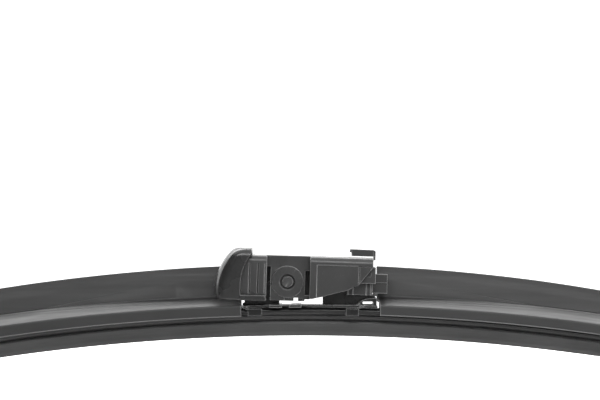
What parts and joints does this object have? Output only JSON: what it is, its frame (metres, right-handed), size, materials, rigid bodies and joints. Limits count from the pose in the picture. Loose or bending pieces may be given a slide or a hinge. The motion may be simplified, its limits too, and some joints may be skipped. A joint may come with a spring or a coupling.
{
  "type": "windshield wiper assembly",
  "caption": "Flat curved wiper blade with a wind spoiler, spring rails and a rubber lip, on a pivoting top-lock connector with a press latch for a channel-shaped wiper arm.",
  "frame": {"origin": "middle of the pivot rivet's axis, where the connector turns on the blade", "axes": "+X along the blade towards the wiper arm, +Y towards the lee side of the spoiler, +Z away from the glass"},
  "size_m": [0.4022, 0.0208, 0.0568],
  "materials": {
    "wiping_rubber": "matte black rubber with a fine dusting along the lip",
    "spring_steel": "dark blued spring steel",
    "spoiler_rubber": "smooth extruded rubber with a soft sheen",
    "cap_plastic": "fine grained black moulding",
    "clip_steel": "plain stamped steel",
    "coated_steel": "black powder coat",
    "rivet_steel": "turned steel, blackened",
    "body_plastic": "satin charcoal moulding with softly worn edges",
    "nose_plastic": "smooth black moulding with a low gloss",
    "latch_plastic": "satin charcoal moulding",
    "block_plastic": "fine grained charcoal moulding"
  },
  "bodies": {
    "connector": {"adapter_body": "body_plastic", "nose_cap": "nose_plastic", "guide_block": "block_plastic"},
    "blade": {"wiper_rubber": "wiping_rubber", "rail_front": "spring_steel", "rail_rear": "spring_steel", "spoiler_left": "spoiler_rubber", "spoiler_right": "spoiler_rubber", "end_cap_left": "cap_plastic", "end_cap_right": "cap_plastic", "end_clip_left": "clip_steel", "end_clip_right": "clip_steel", "bridge_bracket": "coated_steel", "pivot_rivet": "rivet_steel", "spacer_bush": "rivet_steel"},
    "latch": {"latch_tongue": "latch_plastic"}
  },
  "joints": [
    {"name": "blade_pivot", "type": "hinge", "parent": "connector", "child": "blade", "pos_m": [0, 0, 0], "axis": [0, 1, 0], "range_deg": [-4, 6]},
    {"name": "latch_press", "type": "hinge", "parent": "connector", "child": "latch", "pos_m": [0.00951, 0, 0.00686], "axis": [0, 1, 0], "range_deg": [0, 12.5], "stiffness_Nm_per_rad": 1}
  ]
}
